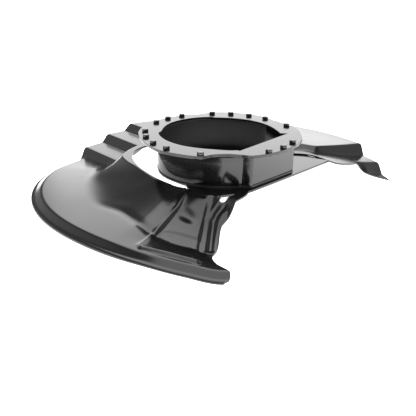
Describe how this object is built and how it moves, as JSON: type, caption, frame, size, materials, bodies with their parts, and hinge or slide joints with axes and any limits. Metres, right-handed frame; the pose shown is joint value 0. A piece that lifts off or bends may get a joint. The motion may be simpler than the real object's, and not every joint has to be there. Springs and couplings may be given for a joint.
{
  "type": "brake backing shield",
  "caption": "Gloss black pressed steel brake backing shield: flared stepped panel, base plate, deep collar and riveted flange ring with a calliper gap.",
  "frame": {"origin": "centre of the hub bore, in the lower face of the base plate", "axes": "+Z along the hub axis, from the base plate to the flange ring; +Y to the rear, away from the viewer; +X to the right, where the wing is; the calliper gap faces +X -Y"},
  "size_m": [0.3611, 0.3625, 0.0646],
  "materials": {
    "shield_coat": "gloss",
    "plate_coat": "gloss",
    "collar_coat": "gloss",
    "ring_coat": "gloss",
    "rivet_coat": "gloss"
  },
  "bodies": {
    "root": {"shield_panel": "shield_coat", "base_plate": "plate_coat", "collar": "collar_coat", "flange_ring": "ring_coat", "rivets_rear_right": "rivet_coat", "rivets_rear_left": "rivet_coat", "rivets_front_left": "rivet_coat", "rivet_front": "rivet_coat", "rivets_front_right": "rivet_coat", "rivet_right": "rivet_coat"}
  },
  "joints": []
}
